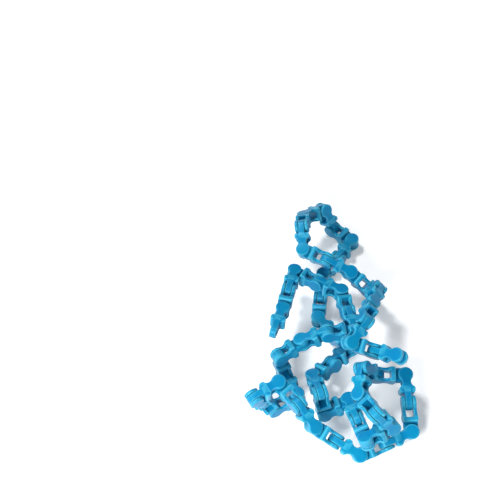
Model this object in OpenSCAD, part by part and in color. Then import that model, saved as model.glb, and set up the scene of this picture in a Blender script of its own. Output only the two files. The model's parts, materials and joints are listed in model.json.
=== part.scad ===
/* [Link] */
// Width of a link across its cheeks, and diameter of each cheek
link_w = 6.4; // [6.4:0.1:6.8]
// Width of the lug's rounded lobes, which stand out past the cheeks
lug_w = 6.9; // [6.8:0.1:7.2]
// Distance between the two hinges of a link
link_pitch = 12; // [12:0.1:13]
// Thickness of each cheek of the fork
cheek_t = 1.55; // [1.4:0.05:1.6]
// Radius of the round end of the tongue
tongue_r = 3.1; // [2.9:0.05:3.15]
// Chamfer around the outer face of each cheek and along the lug's tongue-side corners
edge = 0.5; // [0.4:0.1:0.6]

/* [Hinge] */
// Gap between the tongue and each cheek
side_gap = 0.2; // [0.15:0.05:0.3]
// Radius of the stub pin on the inner face of each cheek
pin_r = 1.1; // [1:0.05:1.2]
// Length of each stub pin
pin_l = 0.9; // [0.7:0.1:1.1]
// Radial clearance of a pin in the bore of the next tongue
bore_gap = 0.05; // [0.03:0.01:0.08]

/* [Colour] */
// Colour of the plastic
plastic = "#1f97cc"; // ["#1f97cc", "#2e9e57", "#d8572a"]

/* [Hidden] */
$fn = 48;
slot_w = link_w - 2 * cheek_t;
tongue_t = slot_w - 2 * side_gap;
// The lug, between the tongue and the fork
lug_x = 3.9;
lug_l = 3;
lobe_r = 1.2;
// The floor of the fork's slot leaves a window past the tip of the next tongue.
slot_x = 6.2;
// Two round notches narrow each prong to a waist between the lug and its cheek,
// and run out tangent to the cheek.
waist_w = 3.8;
notch_r = 2.1;
notch_y = waist_w / 2 + notch_r;
notch_x = link_pitch - sqrt(pow(link_w / 2 + notch_r, 2) - pow(notch_y, 2));
neck_end = link_pitch - (link_pitch - notch_x) * (link_w / 2) / (link_w / 2 + notch_r);
neck_w = 2 * notch_y * (link_w / 2) / (link_w / 2 + notch_r);
overlap = 0.3;

// How far each hinge is folded, in degrees, from the free tongue to the free fork.
// Hinges turn in and out of the pile's plane by turns.
folds = [
    // loose tail, the strand over the upright one, and its turn down to the middle
    -5, 5, 105, 0, 50, 0, 95,
    // across the middle and down the left side
    25, -20, 80, -75, -90,
    // small loop at the lower left, and back over the strand above
    -70, 10, -110, 80, -35,
    // along the lower edge to the right corner
    -20, 25, -55, 0, -70,
    // up the right side and back to the inner corner
    -10, -85, 55, -80, 40,
    // inner loop
    -85, -110, -100, 0, 90, -100,
    // round bay in the middle
    -100, -60, 10, 80, 25,
    // upright strand that lies on the table
    -45, 0, -30,
    // outer loop at the far end
    0, 85, 60, 70, 45, 50,
    // strand that crosses over to the right corner
    60, 25, -15, -85, -50,
    // bright end that points right
    5, -35, 110, 55
];
link_count = len(folds) + 1;
// The link that lies flat on the table, the place of its tongue hinge and its heading.
flat_link = 39;
flat_place = [0.8, -3.2, 3.5];
flat_heading = 130;

function shift(v) = [[1, 0, 0, v.x], [0, 1, 0, v.y], [0, 0, 1, v.z], [0, 0, 0, 1]];
function turn_x(a) = [[1, 0, 0, 0], [0, cos(a), -sin(a), 0], [0, sin(a), cos(a), 0], [0, 0, 0, 1]];
function turn_y(a) = [[cos(a), 0, sin(a), 0], [0, 1, 0, 0], [-sin(a), 0, cos(a), 0], [0, 0, 0, 1]];
function turn_z(a) = [[cos(a), -sin(a), 0, 0], [sin(a), cos(a), 0, 0], [0, 0, 1, 0], [0, 0, 0, 1]];
// Links roll a quarter turn one way and back, so a straight chain keeps two link directions.
function quarter(k) = k % 2 == 1 ? -90 : 90;
// From the frame of link k - 1 to the frame of link k, and back.
function onward(k) = shift([link_pitch, 0, 0]) * turn_y(folds[k - 2]) * turn_x(quarter(k));
function back(k) = turn_x(-quarter(k)) * turn_y(-folds[k - 2]) * shift([-link_pitch, 0, 0]);
// The flat link has its fork hinge upright.
flat_pose = shift(flat_place) * turn_z(flat_heading) * turn_x(90);
poses_on = [for (k = flat_link, m = flat_pose; k <= link_count;
                 k = k + 1, m = k <= link_count ? m * onward(k) : m) m];
poses_back = [for (k = flat_link, m = flat_pose; k >= 1;
                   m = k > 1 ? m * back(k) : m, k = k - 1) m];
function pose(k) = k >= flat_link ? poses_on[k - flat_link] : poses_back[flat_link - k];

// Disc with a chamfer round its top face
module disc(r, h) {
    rotate_extrude()
        polygon([[0, 0], [r, 0], [r, h - edge], [r - edge, h], [0, h]]);
}

// Flat tongue with a round end, drilled for the pins of the fork before it
module tongue() {
    translate([0, 0, -tongue_t / 2])
        linear_extrude(tongue_t)
            difference() {
                union() {
                    circle(tongue_r);
                    translate([0, -tongue_r])
                        square([lug_x + overlap, 2 * tongue_r]);
                }
                circle(pin_r + bore_gap);
            }
}

// Rectangle from a corner at the origin, with round corners
module rounded(l, w, r) {
    translate([0, r])
        square([l, w - 2 * r]);
    translate([r, 0])
        square([l - 2 * r, w]);
    for (x = [r, l - r], y = [r, w - r])
        translate([x, y])
            circle(r);
}

// Lug with round lobes above and below and chamfered corners at its sides
module lug() {
    intersection() {
        translate([lug_x, link_w / 2, -lug_w / 2])
            rotate([90, 0, 0])
                linear_extrude(link_w)
                    rounded(lug_l, lug_w, lobe_r);
        translate([lug_x, 0, -lug_w])
            linear_extrude(2 * lug_w)
                polygon([
                    [0, link_w / 2 - edge], [edge, link_w / 2], [2 * lug_l, link_w / 2],
                    [2 * lug_l, -link_w / 2], [edge, -link_w / 2], [0, edge - link_w / 2]
                ]);
    }
}

// One prong: neck with two notches, round cheek, and the stub pin on its inner face
module prong() {
    translate([0, 0, slot_w / 2])
        linear_extrude(cheek_t)
            difference() {
                translate([lug_x + lug_l / 2, -neck_w / 2])
                    square([neck_end - lug_x - lug_l / 2, neck_w]);
                for (side = [-1, 1])
                    translate([notch_x, side * notch_y])
                        circle(notch_r);
            }
    translate([link_pitch, 0, slot_w / 2])
        disc(link_w / 2, cheek_t);
    translate([link_pitch, 0, slot_w / 2 - pin_l])
        cylinder(h = pin_l + overlap, r = pin_r);
}

// One link, from the axis of its tongue at the origin to the axis of its fork along X
module link() {
    color(plastic) {
        tongue();
        difference() {
            lug();
            translate([slot_x, -slot_w / 2, -link_w])
                cube([link_pitch, slot_w, 2 * link_w]);
        }
        for (side = [-1, 1])
            rotate([side * 90, 0, 0])
                prong();
    }
}

for (k = [1:link_count])
    multmatrix(pose(k)) link();
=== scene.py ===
"""Looks of the folding chain puzzle: one softly moulded link, set into every place of the chain.

The link is described by a distance field in its own frame, in millimetres: X runs from the axis of
its tongue, at the origin, to the axis of its fork. Z is the tongue's axis, and Y is the fork's.
"""
import itertools
import json
import math

import bpy
import numpy as np
from mathutils import Matrix, Vector


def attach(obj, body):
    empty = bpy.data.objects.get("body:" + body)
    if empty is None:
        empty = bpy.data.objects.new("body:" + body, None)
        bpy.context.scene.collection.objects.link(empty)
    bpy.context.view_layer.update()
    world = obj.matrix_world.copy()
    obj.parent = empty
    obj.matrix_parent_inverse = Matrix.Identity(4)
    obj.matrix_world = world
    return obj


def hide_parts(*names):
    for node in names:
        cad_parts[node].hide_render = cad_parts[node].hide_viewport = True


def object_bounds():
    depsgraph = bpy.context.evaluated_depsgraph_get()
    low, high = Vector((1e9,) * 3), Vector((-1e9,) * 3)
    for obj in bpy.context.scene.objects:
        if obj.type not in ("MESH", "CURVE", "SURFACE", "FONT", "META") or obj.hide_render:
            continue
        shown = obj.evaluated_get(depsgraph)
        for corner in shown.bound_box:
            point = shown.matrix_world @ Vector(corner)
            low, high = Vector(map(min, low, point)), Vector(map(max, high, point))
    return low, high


MM = 0.001

# The link, as the CAD has it: width across the cheeks, distance between its hinges, cheek
# thickness, tongue, lug (from and to along X, its width, and the radius of its lobes), where the
# slot's floor is, stub pins, bore, and the waist with the notches beside it
WIDTH = 6.4
PITCH = 12.0
CHEEK = 1.55
TONGUE_R = 3.1
TONGUE_T = 2.9
LUG = (3.9, 6.9)
LUG_W = 6.9
LOBE = 1.2
LUG_CORNER = 0.5
SLOT_X = 6.2
PIN_R = 1.1
PIN_L = 0.9
BORE_R = 1.15
WAIST_W = 3.8
NOTCH_R = 2.1

# Radii of its edges and of the fillets between its features
TONGUE_EDGE = 0.45
BORE_EDGE = 0.2
LUG_EDGE = 0.35
CHEEK_EDGE = 0.5
INNER_EDGE = 0.25
PIN_EDGE = 0.2
FILLET = 0.4
# How much lower the cheek's rim is than its middle
CROWN = 0.12

# The mesh: the field's grid and the margin around the link, how many triangles are kept, and how
# often points are moved onto the surface before and after that
GRID = 0.16
MARGIN = 0.5
KEPT_TRIANGLES = 6500
DENSE_ROUNDS = 5
KEPT_ROUNDS = 2
# Step for the field's gradient, and the least squared slope that a move divides by
PROBE = 0.01
LEAST_SLOPE = 0.25
# An edge is found by probing this far along the surface; a rise of this share of it is a full edge
EDGE_PROBE = 0.22
FULL_EDGE = 0.2
# Added to a turned copy of a normal, so that the copy doesn't point along the normal itself
SKEW = (0.3, 0.1, 0.7)

# The camera: place in metres, turn in degrees and lens in millimetres
CAMERA_AT = (0.0075, -0.2351, 0.4067)
CAMERA_TURN = (34.9, 4.8, 2.86)
LENS = 73.1
SENSOR = 36.0
NEAREST = 0.01

# The lights: places in metres, powers, and how wide the key looks, in degrees
KEY_AT = (-0.20, 0.20, 0.50)
KEY_POWER = 1.95
KEY_ANGLE = 12
FILL_AT = (-0.09, -0.24, 0.20)
FILL_AIM = (0, -0.04, 0)
FILL_SIZE = 0.12
FILL_POWER = 0.95
# The surround's colour overhead, and the sines of the heights between which it fades to white
SKY = (0.15, 0.20, 0.26)
HORIZON = (0.3, 0.42)

# The plastic's colours, the last a painted highlight along the edges, and the tint of its
# reflections
PLASTIC = (0.002, 0.222, 0.385)
PLASTIC_DEEP = (0.001, 0.15, 0.365)
# A paler blue painted onto the edges: a painted highlight along the rims
PLASTIC_EDGE_HIGHLIGHT = (0.08, 0.50, 0.63)
SHEEN = (0.25, 0.8, 1.0)
IOR = 1.45
SPECULAR = 0.5
# Noises, each as scale per metre and detail: clouds in the colour, patches of gloss, and the grain
CLOUDS = (140, 3)
PATCHES = (900, 4)
GRAIN = (5200, 2)
GRAIN_STRENGTH = 0.25
GRAIN_HEIGHT = 0.00002
# What each is mapped from and to: clouds, each link's tone and edges to a share of a colour (for
# edges, a paler painted highlight), and patches to roughness
CLOUD_SHARE = (0.35, 0.65, 0, 0.55)
TONE_SHARE = (-2, 2, 0, 0.35)
EDGE_HIGHLIGHT_SHARE = (0.2, 0.9, 0, 0.7)
ROUGHNESS = (0.3, 0.7, 0.3, 0.42)
TONE_SEED = 7
# Light that goes into the plastic: its weight, how far each colour goes, and the scale in metres
DEPTH_WEIGHT = 0.06
DEPTH_RADIUS = (0.2, 0.6, 1.0)
DEPTH_SCALE = 0.0008

# The table top: side in metres, colour, finish, and the faint glow that keeps its shadows pale
TABLE_SIDE = 6
TABLE = (0.92, 0.92, 0.92)
TABLE_ROUGHNESS = 0.8
TABLE_SPECULAR = 0.1
TABLE_GLOW = (1.0, 0.88, 0.76)
TABLE_GLOW_STRENGTH = 0.26

WHITE = (1.0, 1.0, 1.0)
# The colour sockets of a Mix node, whose names its other sockets share
COLOUR_A = 6
COLOUR_B = 7
COLOUR_MIX = 2


def round_max(a, b, r):
    """Intersection of two fields, its edge rounded to radius r"""
    outside = np.hypot(np.maximum(a + r, 0), np.maximum(b + r, 0))
    return np.minimum(np.maximum(a, b), -r) + outside


def round_min(a, b, r):
    """Union of two fields, the corner between them filled to radius r"""
    return -round_max(-a, -b, r)


def rectangle(u, v, low, high, half):
    """Field of the rectangle from low to high along u and half wide either side of v = 0"""
    du = np.abs(u - (low + high) / 2) - (high - low) / 2
    dv = np.abs(v) - half
    return np.hypot(np.maximum(du, 0), np.maximum(dv, 0)) + np.minimum(np.maximum(du, dv), 0)


def tongue(x, y, z):
    """Flat tongue with a round end and a bore"""
    reach = np.hypot(x, y)
    outline = np.minimum(reach - TONGUE_R, rectangle(x, y, 0, LUG[0] + LOBE, TONGUE_R))
    plate = round_max(outline, np.abs(z) - TONGUE_T / 2, TONGUE_EDGE)
    return round_max(plate, BORE_R - reach, BORE_EDGE)


def lug(x, y, z):
    """Block between tongue and fork, with round lobes above and below and the slot cut into it"""
    half = WIDTH / 2
    profile = rectangle(x, z, LUG[0] + LOBE, LUG[1] - LOBE, LUG_W / 2 - LOBE) - LOBE
    corner = (LUG[0] - x + np.abs(y) - half + LUG_CORNER) / math.sqrt(2)
    side = round_max(np.abs(y) - half, corner, LUG_EDGE)
    block = round_max(profile, side, LUG_EDGE)
    slot = np.maximum(SLOT_X - x, np.abs(y) - (half - CHEEK))
    return round_max(block, -slot, INNER_EDGE)


def prongs(x, y, z):
    """Two prongs: a waist with concave sides, a crowned round cheek, and a stub pin inside it"""
    half = WIDTH / 2
    notch_z = WAIST_W / 2 + NOTCH_R
    notch_x = PITCH - math.sqrt((half + NOTCH_R) ** 2 - notch_z**2)
    tangent = half / (half + NOTCH_R)
    neck_end = PITCH - (PITCH - notch_x) * tangent
    reach = np.hypot(x - PITCH, z)
    notches = NOTCH_R - np.hypot(x - notch_x, np.abs(z) - notch_z)
    neck = np.maximum(rectangle(x, z, sum(LUG) / 2, neck_end, notch_z * tangent), notches)
    outline = np.minimum(neck, reach - half)
    # The crown falls away to the cheek's rim, and fades along the neck
    crown = CROWN * np.clip(reach / half, 0, 1) ** 2 * np.clip(2 - reach / half, 0, 1)
    outer = np.abs(y) - half + crown
    prong = round_max(outline, outer, CHEEK_EDGE)
    prong = round_max(prong, half - CHEEK - np.abs(y), INNER_EDGE)
    stub = round_max(reach - PIN_R, half - CHEEK - PIN_L - np.abs(y), PIN_EDGE)
    stub = np.maximum(stub, np.abs(y) - (half - CHEEK / 2))
    return round_min(prong, stub, INNER_EDGE)


def link_field(x, y, z):
    """Distance to one link's surface, negative inside it"""
    fork = round_min(lug(x, y, z), prongs(x, y, z), FILLET)
    whole = round_min(tongue(x, y, z), fork, FILLET)
    # The fillets also swell faces that lie flush or nearly so, so the link is held to its width
    return np.maximum(whole, np.abs(y) - WIDTH / 2)


def field_at(points):
    """The link's field at rows of points"""
    return link_field(*points.T)


def gradient(points):
    """The field's gradient, which is the surface's outward normal"""
    steps = np.eye(3) * PROBE
    slopes = [field_at(points + step) - field_at(points - step) for step in steps]
    return np.stack(slopes, 1) / (2 * PROBE)


def onto_surface(points, rounds):
    """Moves points along the gradient until the field is zero there"""
    for _ in range(rounds):
        slope = gradient(points)
        steep = np.maximum((slope**2).sum(1), LEAST_SLOPE)
        points = points - slope * (field_at(points) / steep)[:, None]
    return points


def surface_net(low, high, step):
    """(points, quads) of the field's zero level: a point in each cell that it crosses"""
    axes = [np.arange(a, b + step, step) for a, b in zip(low, high)]
    inside = (link_field(*np.meshgrid(*axes, indexing="ij")) < 0).astype(np.int8)
    cells = np.array(inside.shape) - 1
    corners = sum(
        inside[i : cells[0] + i, j : cells[1] + j, k : cells[2] + k]
        for i, j, k in itertools.product((0, 1), repeat=3)
    )
    crossed = np.argwhere((corners > 0) & (corners < 8))
    number = np.full(cells, -1)
    number[tuple(crossed.T)] = np.arange(len(crossed))
    points = np.array(low) + (crossed + 0.5) * step
    quads = []
    for axis in range(3):
        before = np.take(inside, range(cells[axis]), axis)
        after = np.take(inside, range(1, cells[axis] + 1), axis)
        edge = np.argwhere(before != after)
        b, c = np.eye(3, dtype=int)[[(axis + 1) % 3, (axis + 2) % 3]]
        ring = [number[tuple((edge - shift).T)] for shift in (b + c, c, 0 * b, b)]
        faces = np.stack(ring, 1)
        leaving = before[tuple(edge.T)] == 1
        quads.append(np.where(leaving[:, None], faces, faces[:, ::-1]))
    return points, np.concatenate(quads)


def decimated(mesh, triangles):
    """A copy of a mesh, collapsed to about that many triangles"""
    holder = bpy.data.objects.new("decimating", mesh)
    bpy.context.scene.collection.objects.link(holder)
    modifier = holder.modifiers.new("collapse", "DECIMATE")
    modifier.ratio = triangles / (2 * len(mesh.polygons))
    modifier.use_collapse_triangulate = True
    graph = bpy.context.evaluated_depsgraph_get()
    light = bpy.data.meshes.new_from_object(holder.evaluated_get(graph))
    bpy.data.objects.remove(holder)
    return light


def corners_of(mesh):
    """The places of a mesh's vertices, as rows"""
    flat = np.zeros(3 * len(mesh.vertices))
    mesh.vertices.foreach_get("co", flat)
    return flat.reshape(-1, 3)


def edge_weight(points, normals):
    """How sharply the surface bends away at each point, from 0 on a flat face to 1 on an edge"""
    side = np.cross(normals, np.roll(normals, 1, axis=1) + SKEW)
    side /= np.linalg.norm(side, axis=1)[:, None]
    other = np.cross(normals, side)
    around = [
        field_at(points + sign * EDGE_PROBE * way) for sign in (-1, 1) for way in (side, other)
    ]
    return np.clip(np.mean(around, 0) / (EDGE_PROBE * FULL_EDGE), 0, 1)


def link_mesh():
    """The link's mesh in its own frame, in millimetres, with exact normals and its edges marked"""
    low = (-TONGUE_R - MARGIN, -WIDTH / 2 - MARGIN, -LUG_W / 2 - MARGIN)
    high = (PITCH + WIDTH / 2 + MARGIN, WIDTH / 2 + MARGIN, LUG_W / 2 + MARGIN)
    points, quads = surface_net(low, high, GRID)
    dense = bpy.data.meshes.new("link_dense")
    dense.from_pydata(onto_surface(points, DENSE_ROUNDS).tolist(), [], quads.tolist())
    mesh = decimated(dense, KEPT_TRIANGLES)
    mesh.name = "link"
    bpy.data.meshes.remove(dense)
    points = onto_surface(corners_of(mesh), KEPT_ROUNDS)
    mesh.vertices.foreach_set("co", points.ravel())
    normals = gradient(points)
    normals /= np.linalg.norm(normals, axis=1)[:, None]
    mesh.shade_smooth()
    mesh.normals_split_custom_set_from_vertices(normals.tolist())
    edge = mesh.attributes.new("edge", "FLOAT", "POINT")
    edge.data.foreach_set("value", edge_weight(points, normals).astype(np.float32))
    return mesh


def middle(solid):
    """Centre of a CAD node's surface, which lies on its link's X axis"""
    faces = solid.data.polygons
    total = sum(face.area for face in faces)
    return sum((face.center * face.area for face in faces), Vector()) / total


def link_frame(solid, hinge_in, hinge_out):
    """The matrix that puts a link into the chain, from its CAD node and its one or two hinges"""
    if hinge_out is None:
        tongue_axis = Vector(hinge_in["axis"])
        origin = Vector(hinge_in["pos_m"])
        along = middle(solid) - origin
        along = (along - along.dot(tongue_axis) * tongue_axis).normalized()
        across = tongue_axis.cross(along)
    else:
        across = Vector(hinge_out["axis"])
        start = Vector(hinge_in["pos_m"]) if hinge_in else middle(solid)
        along = Vector(hinge_out["pos_m"]) - start
        along = (along - along.dot(across) * across).normalized()
        origin = Vector(hinge_out["pos_m"]) - PITCH * MM * along
    turn = Matrix((along, across, along.cross(across))).transposed()
    return Matrix.Translation(origin) @ turn.to_4x4() @ Matrix.Scale(MM, 4)


def set_links(frame, material):
    """One moulded piece on each body, in place of its CAD node"""
    shared = link_mesh()
    shared.materials.append(material)
    hinges = {joint["name"]: joint for joint in frame["joints"]}
    tones = np.random.default_rng(TONE_SEED).normal(0, 1, len(frame["nodes"]))
    for number, name in enumerate(sorted(frame["nodes"]), 1):
        hinge_in = hinges.get(f"hinge_{number - 1:02d}")
        hinge_out = hinges.get(f"hinge_{number:02d}")
        mesh = shared.copy()
        mesh.name = f"moulded_{name}"
        mesh.transform(link_frame(frame["nodes"][name], hinge_in, hinge_out))
        tone = mesh.attributes.new("tone", "FLOAT", "POINT")
        same = np.full(len(mesh.vertices), tones[number - 1], np.float32)
        tone.data.foreach_set("value", same)
        piece = bpy.data.objects.new(mesh.name, mesh)
        bpy.context.scene.collection.objects.link(piece)
        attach(piece, name)
        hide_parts(name)


def linear(rgb):
    """An opaque colour for a shader's socket"""
    return (*rgb, 1.0)


def node(tree, kind, **values):
    """Adds a shader node; a value's name is an input's name, with _ for a space"""
    made = tree.nodes.new(kind)
    for name, value in values.items():
        made.inputs[name.replace("_", " ")].default_value = value
    return made


def ranged(tree, source, low, high, to_low, to_high):
    """Maps low..high of a node's output to to_low..to_high"""
    made = node(
        tree, "ShaderNodeMapRange", From_Min=low, From_Max=high, To_Min=to_low, To_Max=to_high
    )
    tree.links.new(source, made.inputs["Value"])
    return made.outputs["Result"]


def mixed(tree, factor, a, b):
    """Mix of two colours, each a node's output or a fixed colour"""
    made = tree.nodes.new("ShaderNodeMix")
    made.data_type = "RGBA"
    tree.links.new(factor, made.inputs["Factor"])
    for number, colour in ((COLOUR_A, a), (COLOUR_B, b)):
        if isinstance(colour, tuple):
            made.inputs[number].default_value = linear(colour)
        else:
            tree.links.new(colour, made.inputs[number])
    return made.outputs[COLOUR_MIX]


def attribute(tree, name):
    """A value that the mesh carries at its points"""
    made = tree.nodes.new("ShaderNodeAttribute")
    made.attribute_name = name
    return made.outputs["Fac"]


def noise(tree, coordinates, scale, detail):
    """A cloudy noise over the coordinates, from 0 to 1"""
    made = node(tree, "ShaderNodeTexNoise", Scale=scale, Detail=detail)
    tree.links.new(coordinates, made.inputs["Vector"])
    return made.outputs["Fac"]


def blue_plastic():
    """Satin moulded plastic: faint clouding in its colour, a fine grain, and a painted highlight
    on its edges
    """
    material = bpy.data.materials.new("blue_plastic")
    material.use_nodes = True
    tree = material.node_tree
    shader = tree.nodes["Principled BSDF"]
    place = tree.nodes.new("ShaderNodeTexCoord").outputs["Object"]
    clouds = ranged(tree, noise(tree, place, *CLOUDS), *CLOUD_SHARE)
    colour = mixed(tree, clouds, PLASTIC, PLASTIC_DEEP)
    tone = ranged(tree, attribute(tree, "tone"), *TONE_SHARE)
    colour = mixed(tree, tone, colour, PLASTIC_DEEP)
    # Edges are painted paler: a painted highlight that stands in for light caught along the rims
    edges = ranged(tree, attribute(tree, "edge"), *EDGE_HIGHLIGHT_SHARE)
    colour = mixed(tree, edges, colour, PLASTIC_EDGE_HIGHLIGHT)
    tree.links.new(colour, shader.inputs["Base Color"])
    gloss = ranged(tree, noise(tree, place, *PATCHES), *ROUGHNESS)
    tree.links.new(gloss, shader.inputs["Roughness"])
    grain = node(tree, "ShaderNodeBump", Strength=GRAIN_STRENGTH, Distance=GRAIN_HEIGHT)
    tree.links.new(noise(tree, place, *GRAIN), grain.inputs["Height"])
    tree.links.new(grain.outputs["Normal"], shader.inputs["Normal"])
    shader.inputs["IOR"].default_value = IOR
    shader.inputs["Specular IOR Level"].default_value = SPECULAR
    shader.inputs["Specular Tint"].default_value = linear(SHEEN)
    shader.inputs["Subsurface Weight"].default_value = DEPTH_WEIGHT
    shader.inputs["Subsurface Radius"].default_value = DEPTH_RADIUS
    shader.inputs["Subsurface Scale"].default_value = DEPTH_SCALE
    return material


def floor(low):
    """Pale table top under the chain"""
    bpy.ops.mesh.primitive_plane_add(size=TABLE_SIDE, location=(0, 0, low))
    table = bpy.context.object
    table.name = "table_top"
    material = bpy.data.materials.new("table_top")
    material.use_nodes = True
    shader = material.node_tree.nodes["Principled BSDF"]
    shader.inputs["Base Color"].default_value = linear(TABLE)
    shader.inputs["Roughness"].default_value = TABLE_ROUGHNESS
    shader.inputs["Specular IOR Level"].default_value = TABLE_SPECULAR
    shader.inputs["Emission Color"].default_value = linear(TABLE_GLOW)
    shader.inputs["Emission Strength"].default_value = TABLE_GLOW_STRENGTH
    table.data.materials.append(material)


def light(name, kind, at, aim, power):
    """A lamp of that kind at a place in metres, turned towards another"""
    lamp = bpy.data.lights.new(name, kind)
    lamp.energy = power
    made = bpy.data.objects.new(name, lamp)
    made.location = at
    made.rotation_euler = (Vector(aim) - Vector(at)).to_track_quat("-Z", "Y").to_euler()
    bpy.context.scene.collection.objects.link(made)
    return lamp


def studio(centre):
    """Key from the far left, near fill from the front left, and a surround white at its horizon"""
    light("key", "SUN", KEY_AT, centre, KEY_POWER).angle = math.radians(KEY_ANGLE)
    fill = light("fill", "AREA", FILL_AT, FILL_AIM, FILL_POWER)
    fill.shape = "DISK"
    fill.size = FILL_SIZE
    world = bpy.data.worlds.new("surround")
    world.use_nodes = True
    tree = world.node_tree
    direction = tree.nodes.new("ShaderNodeTexCoord").outputs["Generated"]
    way = tree.nodes.new("ShaderNodeSeparateXYZ")
    tree.links.new(direction, way.inputs["Vector"])
    height = ranged(tree, way.outputs["Z"], *HORIZON, 0, 1)
    tree.links.new(mixed(tree, height, WHITE, SKY), tree.nodes["Background"].inputs["Color"])
    bpy.context.scene.world = world
    bpy.context.scene.view_settings.view_transform = "Standard"


def camera():
    """The camera, above the chain and in front of it"""
    data = bpy.data.cameras.new("camera")
    data.lens = LENS
    data.sensor_width = SENSOR
    data.clip_start = NEAREST
    made = bpy.data.objects.new("camera", data)
    made.location = CAMERA_AT
    made.rotation_euler = [math.radians(angle) for angle in CAMERA_TURN]
    bpy.context.scene.collection.objects.link(made)
    bpy.context.scene.camera = made


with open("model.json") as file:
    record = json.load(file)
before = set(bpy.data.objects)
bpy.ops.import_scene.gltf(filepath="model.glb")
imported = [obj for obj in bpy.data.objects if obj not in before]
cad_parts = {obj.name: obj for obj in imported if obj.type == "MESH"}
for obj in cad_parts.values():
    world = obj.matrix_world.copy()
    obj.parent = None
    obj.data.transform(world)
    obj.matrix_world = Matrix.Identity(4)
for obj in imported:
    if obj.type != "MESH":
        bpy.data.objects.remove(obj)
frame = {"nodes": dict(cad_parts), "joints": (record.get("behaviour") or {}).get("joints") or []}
cad_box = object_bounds()
camera()
set_links(frame, blue_plastic())
floor(cad_box[0].z)
studio((cad_box[0] + cad_box[1]) / 2)
